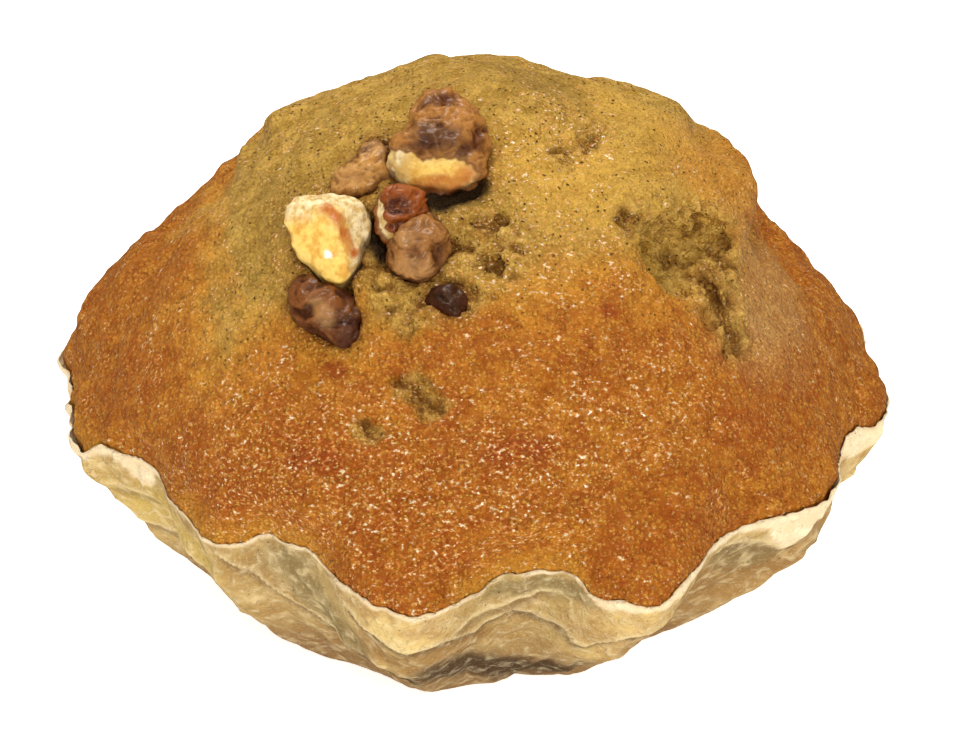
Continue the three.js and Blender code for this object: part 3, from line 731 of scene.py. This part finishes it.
# %% How near each point of the crust is to a walnut piece
beside_nut = np.full(len(rows), 9.0)
for name in WALNUTS:
    low, high = (np.array(corner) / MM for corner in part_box(name))
    close = np.all((rows > low - 3) & (rows < high + 3), axis=1).nonzero()[0]
    far = distances(rows[close], tree_of(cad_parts[name]))
    beside_nut[close] = np.minimum(beside_nut[close], far)
damp = 1 - step(beside_nut + 0.8 * uneven, 0.4, 2.8)
dark_line = 1 - step(beside_nut + 0.5 * uneven, 0.3, 1.2)

# %% The relief of the crust
out = directions(crumb)
height = 0.34 * waves(rows, 5.5, 11) + 0.26 * waves(rows, 2.4, 2) + 0.15 * waves(rows, 1.2, 4)
height += wrinkled * 0.20 * (1 - 2 * np.abs(waves(rows, 1.7, 9, (2.6, 1, 0.8))))
height += browned * 0.12 * (1 - 2 * np.abs(waves(rows, 1.9, 19)))
height += 0.5 * np.exp(-((beside_nut / 1.0) ** 2))
swirled = rows + 0.7 * np.stack([waves(rows, 1.8, seed) for seed in (41, 42, 43)], axis=1)
pores = np.clip(waves(swirled, 1.5, 1) + 0.05, 0, 1)
coarse = 0.7 * waves(swirled, 2.4, 8) + 0.55 * waves(swirled, 1.1, 8) - 1.3 * pores + 0.1
height += torn * (coarse + 0.1) - 0.8 * cracked

# %% Small hills and dents on the outline of the crown: how high, how wide and where
HILLS = [
    (0.9, 3.0, (-22.3, 9.2, 56.8)), (-0.9, 2.2, (-25.0, 3.0, 53.4), (-25.0, 14.0, 53.0)),
    (0.2, 3.0, (-27.3, 10.5, 50.6)), (-1.4, 3.0, (-28.9, 2.0, 49.0), (-28.9, 15.0, 48.2)),
    (-0.8, 4.5, (-33.0, 0.0, 45.6), (-33.0, 15.0, 44.6)),
    (0.7, 3.5, (-38.6, 0.0, 40.4), (-38.6, 9.0, 40.0)),
    (0.4, 2.2, (22.6, 9.4, 58.8)), (-0.9, 2.4, (26.6, 4.0, 56.2), (26.6, 16.0, 55.0)),
    (0.6, 2.6, (28.8, 6.0, 54.6)), (0.8, 2.4, (30.4, -2.0, 53.6), (30.4, 4.0, 53.4)),
    (-1.3, 2.8, (33.2, -5.0, 48.8), (33.4, 6.0, 48.8)),
    (-0.7, 4.0, (36.0, 4.0, 39.5), (35.4, 16.0, 38.5)), (0.5, 3.5, (-3.6, 11.4, 62.6)),
    (-0.5, 3.0, (8.0, 12.0, 63.0)),
    (-0.4, 2.4, (18.0, 8.0, 61.0)), (1.0, 1.5, (2.4, -18.0, 56.4)), (1.0, 1.5, (2.2, -21.2, 53.4)),
    (1.3, 1.8, (16.4, -15.6, 56.2)), (0.4, 1.0, (-10.9, -34.4, 41.4)),
]
for rise, reach, *path in HILLS:
    height += rise * (1 - step(from_path(rows, path), 0.2 * reach, 1.3 * reach))
print(len(HILLS), "hills and dents")

# %% The relief moves the points, but never through the paper
GAP_TO_PAPER = 0.2
NO_LIMIT = 99
shaped = rows + out * (open_crust * height)[:, None]
ring_beside = np.clip(np.rint(z / rim_level * UP), 0, UP).astype(int)
inside = sheet_radius[column, ring_beside] - GAP_TO_PAPER
limit = np.where(over_rim < 0.1, inside, NO_LIMIT)
shaped[:, :2] *= np.minimum(1, limit / np.maximum(np.hypot(shaped[:, 0], shaped[:, 1]), 1))[:, None]
put_back(crumb, shaped)
# Painted shade in the deep parts of the torn crumb and in the cracks.
hollow = np.maximum(torn * step(-coarse, -0.1, 0.9), cracked)
keep_masks(
    crumb, browned=browned, torn=torn, stained=stained, damp=damp, wrinkled=wrinkled, orange=orange,
    greyed=greyed, sugared=sugared, pale_rim=pale_rim, hollow=hollow, dark_line=dark_line,
    sunny=sunny, olive=olive, shade=shade, ruddy=ruddy,
)
print("relief from", round(height.min(), 2), "to", round(height.max(), 2), "mm")

# %% [markdown]
# ### The finish of the crust
#
# Three things make baked crust look baked: patches of caramel and gold at several sizes, dark dots
# of cinnamon, and a moist skin that glints. The glints could be strewn as small meshes of sugar,
# but here they are painted highlights in the finish: ragged pale flecks in clusters, which are the
# peaks of a cloudy pattern, with a painted orange halo, and fine round pale grains between them.
# Both stand a little proud of the skin and have a thin coat with its own gloss.


# %% Crust colours and grain
def crust_finish():
    crust = Finish("baked_crust")
    browned, torn, sugared = (crust.mask(name) for name in ("browned", "torn", "sugared"))
    broad = crust.mottle(6, 3, 0.55)
    patchy = crust.mottle(2.2, 3, 0.6)
    small = crust.mottle(1.0, 3, 0.6)
    grain = crust.mottle(0.4, 3, 0.7)
    swirled = crust.bent(0.7, 0.28)
    far, lot = crust.seeds(0.6, swirled)
    pebble = crust.ease(far, 0.08, 0.66, 1.0, 0.0)
    lines = crust.mottle(0.8, 3, 0.6, crust.stretched(crust.bent(3, 0.8), (0.3, 1, 1)))
    caramel = crust.mix(crust.ease(patchy, 0.36, 0.62), paint(162, 82, 14), paint(188, 112, 26))
    caramel = crust.mix(crust.ease(small, 0.52, 0.68) * 0.6, caramel, paint(210, 140, 44))
    reddish = crust.ease(broad + crust.mask("wrinkled") * 0.1, 0.5, 0.68)
    caramel = crust.mix(reddish * 0.5, caramel, paint(158, 70, 12))
    red_lines = crust.ease(lines, 0.53, 0.66) * (crust.mask("wrinkled") * 0.4 + 0.2)
    caramel = crust.mix(red_lines, caramel, paint(150, 56, 8))
    ruddy = crust.mask("ruddy") * crust.ease(patchy, 0.3, 0.6, 0.7, 0.4)
    caramel = crust.mix(ruddy, caramel, paint(164, 72, 12))
    caramel = crust.mix(crust.mask("pale_rim") * 0.75, caramel, paint(202, 138, 42))
    mustard = crust.mix(crust.ease(patchy, 0.35, 0.62), paint(164, 128, 46), paint(204, 164, 76))
    mustard = crust.mix(crust.ease(broad, 0.42, 0.6) * 0.4, mustard, paint(158, 124, 52))
    mustard = crust.mix(crust.ease(small, 0.55, 0.7) * 0.5, mustard, paint(216, 168, 62))
    # painted highlight on the lip and brighter painted patches
    mustard = crust.mix(crust.mask("sunny") * 0.5, mustard, paint(232, 180, 72))
    mustard = crust.mix(crust.mask("olive") * 0.65, mustard, paint(142, 112, 44))
    mustard = crust.mix(crust.mask("orange") * 0.6, mustard, paint(200, 126, 34))
    golden = crust.mix(crust.ease(patchy, 0.36, 0.6), paint(176, 108, 24), paint(208, 142, 44))
    spread = browned + (patchy - 0.5) * 0.5
    colour = crust.mix(crust.ease(spread, 0.05, 0.6), mustard, golden)
    colour = crust.mix(crust.ease(spread, 0.4, 1.0), colour, caramel)
    greyed = crust.mask("greyed") * crust.ease(patchy, 0.3, 0.6, 0.6, 0.9)
    colour = crust.mix(greyed, colour, paint(190, 144, 84))
    bare = crust.mix(crust.ease(small, 0.4, 0.62), paint(232, 190, 96), paint(166, 124, 48))
    # painted shade in hollows and cracks
    bare = crust.mix(crust.mask("hollow") * 0.75, bare, paint(112, 72, 26))
    colour = crust.mix(torn * 0.8, colour, bare)
    colour = crust.mix(crust.mask("hollow") * 0.55, colour, paint(92, 54, 18))
    colour = crust.mix(crust.mask("damp") * 0.4, colour, paint(138, 94, 32))
    colour = crust.mix(crust.mask("dark_line") * 0.65, colour, paint(84, 38, 14))
    # Painted shade between the pebbles of the grain, and painted highlight on the tops of some pebbles.
    pores_share = crust.ease(small, 0.4, 0.6, 0.3, 0.12) + browned * 0.1
    colour = crust.mix((1 - pebble) * pores_share, colour, paint(122, 62, 12))
    colour = crust.mix(pebble * crust.ease(lot, 0.45, 0.95) * 0.4, colour, paint(236, 176, 70))
    colour = crust.mix(crust.ease(grain, 0.5, 0.68) * 0.3, colour, paint(124, 66, 14))
    colour = crust.mix(crust.ease(grain, 0.3, 0.46, 1.0, 0.0) * 0.35, colour, paint(236, 178, 66))
    cinnamon = crust.dots(0.8, 0.19, 0.6, swirled) * (1 - browned * 0.6)
    colour = crust.mix(cinnamon * 0.9, colour, paint(62, 32, 10))
    colour = crust.mix(crust.mask("stained") * 0.7, colour, paint(138, 48, 10))
    colour = crust.mix(crust.mask("shade") * 0.95, colour, paint(26, 14, 6))
    ragged = crust.stretched(crust.bent(0.34, 0.1), (0.78, 1, 1.1))
    clusters = crust.mottle(2.8, 3, 0.6) * 0.5 + lines * 0.3 + crust.mottle(1.2, 2) * 0.2
    dim = 1 - crust.mask("shade")
    sown = crust.ease(clusters + sugared * 0.11 - torn * 0.02, 0.5, 0.6) * dim
    lumps = crust.mottle(0.44, 1, 0.5, ragged)
    grains = crust.dots(0.62, 0.22, 0.42, crust.bent(0.34, 0.1))
    coarse_sugar = crust.ease(lumps + grains * 0.12, 0.64, 0.73) * sown
    fine_sugar = crust.dots(0.38, 0.14, 0.5, ragged) * (sown * 0.55 + 0.4) * dim
    # a painted orange halo round the glints, then the painted pale glints; their coat adds real gloss
    halo = crust.ease(lumps, 0.5, 0.62) * sown
    colour = crust.mix(halo * 0.4, colour, paint(236, 158, 78))
    colour = crust.mix(coarse_sugar * 0.85, colour, paint(255, 232, 190))
    colour = crust.mix(fine_sugar * 0.55, colour, paint(250, 206, 106))
    wet = coarse_sugar * 0.6 + fine_sugar * 0.4
    crust.tree.links.new(wet.socket, crust.shader.inputs["Coat Weight"])
    rough = 0.5 - browned * 0.1 + torn * 0.15 + grain * 0.14 - wet * 0.15
    relief = grain * 0.6 + small * (torn * 1.2 + 0.8) + pebble * (lot * 0.4 + 0.2) + wet * 0.3
    relief = relief + lines * browned * 0.5 - cinnamon * 0.2
    constants = {
        "Specular IOR Level": 0.2, "Specular Tint": (1.0, 0.86, 0.62, 1.0), "Coat Roughness": 0.12,
    }
    return crust.finish(colour, rough, relief, 0.62, constants)


finish_piece(crumb, "muffin_crumb", crust_finish())

# %% [markdown]
# ## The walnut pieces
#
# Chopped walnut has two faces. The outside is a thin red-brown skin over lobes and furrows, and
# the break is cream and waxy, with golden and orange streaks where the skin's oil ran in. Each
# solid has the outline and the breaks of its piece. A copy of it is remeshed finely, the skin gets
# its furrows, the breaks stay smooth, and strokes say where each colour of the real piece lies and
# where a highlight and some shade are painted.

# %% What each piece looks like: its skin from dark to light, and its strokes
SKINS = {
    "walnut_cream_chunk": ((196, 154, 88), (226, 192, 124)),
    "walnut_top_quarter": ((90, 42, 12), (170, 112, 48)),
    "walnut_red_slab": ((84, 28, 4), (146, 70, 14)),
    "walnut_pink_lobe": ((86, 46, 16), (156, 102, 48)),
    "walnut_back_lobes": ((116, 70, 26), (190, 136, 68)),
    "walnut_lower_lobes": ((54, 22, 6), (128, 72, 28)),
    "walnut_dark_tip": ((20, 10, 6), (60, 30, 12)),
}
LOOKS = {
    "walnut_cream_chunk": {
        "flesh": [(40, (-15, -20, 58))],
        "golden": [(3.6, (-18.4, -20.4, 58.8), (-15.8, -22.8, 56.4), (-14.9, -24.0, 54.0))],
        "white": [(2.4, (-19.4, -18.4, 60.4), (-13.2, -17.8, 60.8), (-11.2, -19.0, 59.0)),
                  (1.9, (-11.6, -19.8, 57.5), (-11.7, -22.0, 54.8))],
        "streak": [(1.0, (-15.3, -20.2, 60.7), (-14.4, -20.9, 59.9), (-13.8, -21.1, 59.2)),
                   (0.9, (-13.3, -21.4, 58.0), (-12.6, -22.0, 56.1)), (0.5, (-13.6, -21.3, 58.6))],
        # a painted highlight: one small gloss spot on the break
        "gleam": [(0.34, (-15.2, -22.8, 56.2))],
    },
    "walnut_top_quarter": {
        "flesh": [(2.3, (-9.2, -12.9, 61.9), (-5.4, -14.7, 61.6), (-1.4, -15.4, 61.6))],
        "golden": [(1.6, (-5.4, -14.7, 61.8), (-1.6, -15.4, 62.0))],
        "white": [(1.3, (-9.3, -13.0, 61.2), (-8.6, -13.4, 60.0)), (1.0, (-8.0, -13.6, 63.2))],
        "streak": [(1.3, (-5.4, -14.8, 60.2), (-1.6, -15.5, 60.6), (-0.6, -15.4, 61.8))],
        "dark": [(1.7, (-4.6, -12.8, 65.4), (-2.4, -13.2, 64.8)), (1.2, (-1.0, -14.0, 63.8))],
    },
    "walnut_red_slab": {
        "flesh": [(0.75, (-9.9, -17.4, 60.1), (-9.7, -19.2, 58.7), (-9.5, -19.8, 57.3),
                   (-8.7, -20.5, 57.0))],
        "white": [(0.75, (-9.9, -17.4, 60.1), (-9.7, -19.2, 58.7), (-9.5, -19.8, 57.3))],
        "streak": [(1.5, (-6.4, -18.4, 59.8), (-5.2, -18.0, 59.2))],
    },
    "walnut_pink_lobe": {
        "white": [(1.3, (-7.2, -23.6, 55.2), (-5.0, -24.4, 55.2)), (1.0, (-6.6, -22.4, 58.0))],
    },
    "walnut_back_lobes": {
        "white": [(1.4, (-10.0, -9.4, 62.2)), (1.2, (-13.2, -12.6, 60.4))],
    },
    "walnut_lower_lobes": {
        "white": [(1.1, (-16.2, -25.8, 51.8), (-15.2, -26.8, 50.6))],
        # the second dark stroke is painted shade in the gap under the cream chunk
        "dark": [(1.7, (-13.0, -27.2, 49.4)), (1.2, (-13.6, -24.4, 52.0))],
    },
}
MASKS = ("flesh", "golden", "white", "streak", "dark", "gleam")


# %% Shaping a piece
WALNUT_VOXEL = 0.19
crumb_tree = tree_of(crumb)


def shape_walnut(name, seed):
    piece = merged_copy(name, name + "_piece")
    modify(piece, "REMESH", mode="VOXEL", voxel_size=WALNUT_VOXEL * MM)
    modify(piece, "SMOOTH", factor=0.5, iterations=4)
    rows = places(piece)
    out = directions(piece)
    uneven = 0.5 * waves(rows, 1.6, seed) + 0.3 * waves(rows, 0.6, seed)
    drawn = LOOKS.get(name, {})
    masks = {mask: strokes(rows, drawn.get(mask, []), uneven, 0.5) for mask in MASKS}
    flesh = masks["flesh"] = step(masks["flesh"], 0.3, 0.7)
    bent = rows + 0.9 * np.stack([waves(rows, 2.4, seed + k) for k in (1, 2, 3)], axis=1)
    furrows = 1 - 2.6 * np.abs(waves(bent, 2.4, seed, (1.5, 1.5, 0.8)))
    fine = 1 - 2.2 * np.abs(waves(bent, 0.8, seed + 4, (1.5, 1.5, 0.6)))
    height = (1 - flesh) * (0.36 * furrows + 0.22 * fine + 0.06 * waves(rows, 0.5, seed))
    height += flesh * (0.26 * waves(rows, 1.9, seed) + 0.10 * waves(rows, 0.8, seed))
    height += masks["white"] * flesh * (0.22 * waves(rows, 0.8, seed + 8) - 0.1)
    put_back(piece, rows + out * height[:, None])
    masks["ridge"] = step(furrows, -0.6, 0.8)
    masks["crinkle"] = step(fine, -0.4, 0.8)
    # painted shade where the piece sinks into the crumb
    masks["sunk"] = 1 - step(distances(rows, crumb_tree, 4) + 0.6 * uneven, 0.15, 1.3)
    keep_masks(piece, **masks)
    return piece


# %% Skin and break
def walnut_finish(name):
    dark, light = (paint(*colour) for colour in SKINS[name])
    nut = Finish(name + "_finish")
    flesh, white = nut.mask("flesh"), nut.mask("white")
    blotch = nut.mottle(1.5, 3, 0.6)
    fibre = nut.mottle(0.4, 3, 0.7)
    # painted light and shade on the skin: lighter on ridges and crinkles, with random blotches
    lit = nut.mask("ridge") * 0.45 + nut.mask("crinkle") * 0.35 + blotch * 0.6
    skin = nut.mix(nut.ease(lit, 0.35, 1.1), dark, light)
    skin = nut.mix(nut.ease(fibre, 0.5, 0.72) * 0.5, skin, paint(64, 28, 12))
    skin = nut.mix(nut.ease(fibre, 0.28, 0.42, 1.0, 0.0) * 0.3, skin, paint(204, 150, 84))
    # painted shade in the furrows
    skin = nut.mix((1 - nut.mask("ridge")) * 0.4, skin, paint(76, 32, 8))
    skin = nut.mix(white * 0.45, skin, paint(192, 142, 84))
    skin = nut.mix(nut.mask("dark") * 0.75, skin, paint(58, 24, 20))
    cream = nut.mix(nut.ease(blotch, 0.38, 0.62), paint(214, 172, 92), paint(238, 206, 132))
    golden = nut.mix(nut.ease(blotch, 0.36, 0.6), paint(222, 158, 54), paint(246, 204, 96))
    cream = nut.mix(nut.mask("golden") * 0.8, cream, golden)
    crumbs = nut.ease(nut.mottle(0.9, 3, 0.6), 0.42, 0.6)
    crumbly = nut.mix(crumbs, paint(244, 224, 178), paint(200, 164, 100))
    cream = nut.mix(white * 0.8, cream, crumbly)
    streak = nut.mask("streak") * nut.ease(blotch, 0.3, 0.6, 0.5, 0.95)
    cream = nut.mix(streak, cream, paint(186, 98, 30))
    cream = nut.mix(nut.ease(fibre, 0.5, 0.7) * 0.22, cream, paint(176, 122, 54))
    # painted highlight on the cream break
    cream = nut.mix(nut.mask("gleam"), cream, paint(255, 250, 232))
    colour = nut.mix(flesh, skin, cream)
    rim = flesh * (1 - flesh) * 3.0
    colour = nut.mix(rim, colour, paint(110, 56, 22))
    # painted shade where the piece sinks into the crumb
    colour = nut.mix(nut.mask("sunk") * 0.75, colour, paint(70, 30, 12))
    rough = 0.36 + fibre * 0.22 - flesh * 0.06
    constants = {
        "Specular IOR Level": 0.32, "Specular Tint": (1.0, 0.88, 0.7, 1.0),
        "Coat Weight": 0.22, "Coat Roughness": 0.18,
    }
    return nut.finish(colour, rough, fibre * 0.5 + blotch * 0.6, 0.3, constants)


for number, name in enumerate(WALNUTS):
    finish_piece(shape_walnut(name, 10.0 * number + 3), name, walnut_finish(name))

# %% [markdown]
# ## The table, and the size of the dressed muffin
#
# A plain white table carries the muffin, large enough that its edge never shows. Last, the size of
# the box of the dressed muffin is printed.

# %% The table
TABLE_SIZE = 6
bpy.ops.object.select_all(action="DESELECT")
bpy.ops.mesh.primitive_plane_add(size=TABLE_SIZE, location=(0, 0, 0))
table = bpy.context.object
table.name = "white_table"
top = Finish("white_table_top")
white = top.mix(top.mottle(40, 2), paint(252, 252, 252), paint(255, 255, 255))
glow = {"Emission Color": (1, 1, 1, 1), "Emission Strength": 0.7}
table.data.materials.append(top.finish(white, 0.6 + top.mottle(3) * 0.1, top.mottle(1), 0.01, glow))
table.visible_glossy = False
table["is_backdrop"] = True

# %% The box of the dressed muffin
low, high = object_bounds()
print("dressed", [round((b - a) / MM, 1) for a, b in zip(low, high)], "mm")
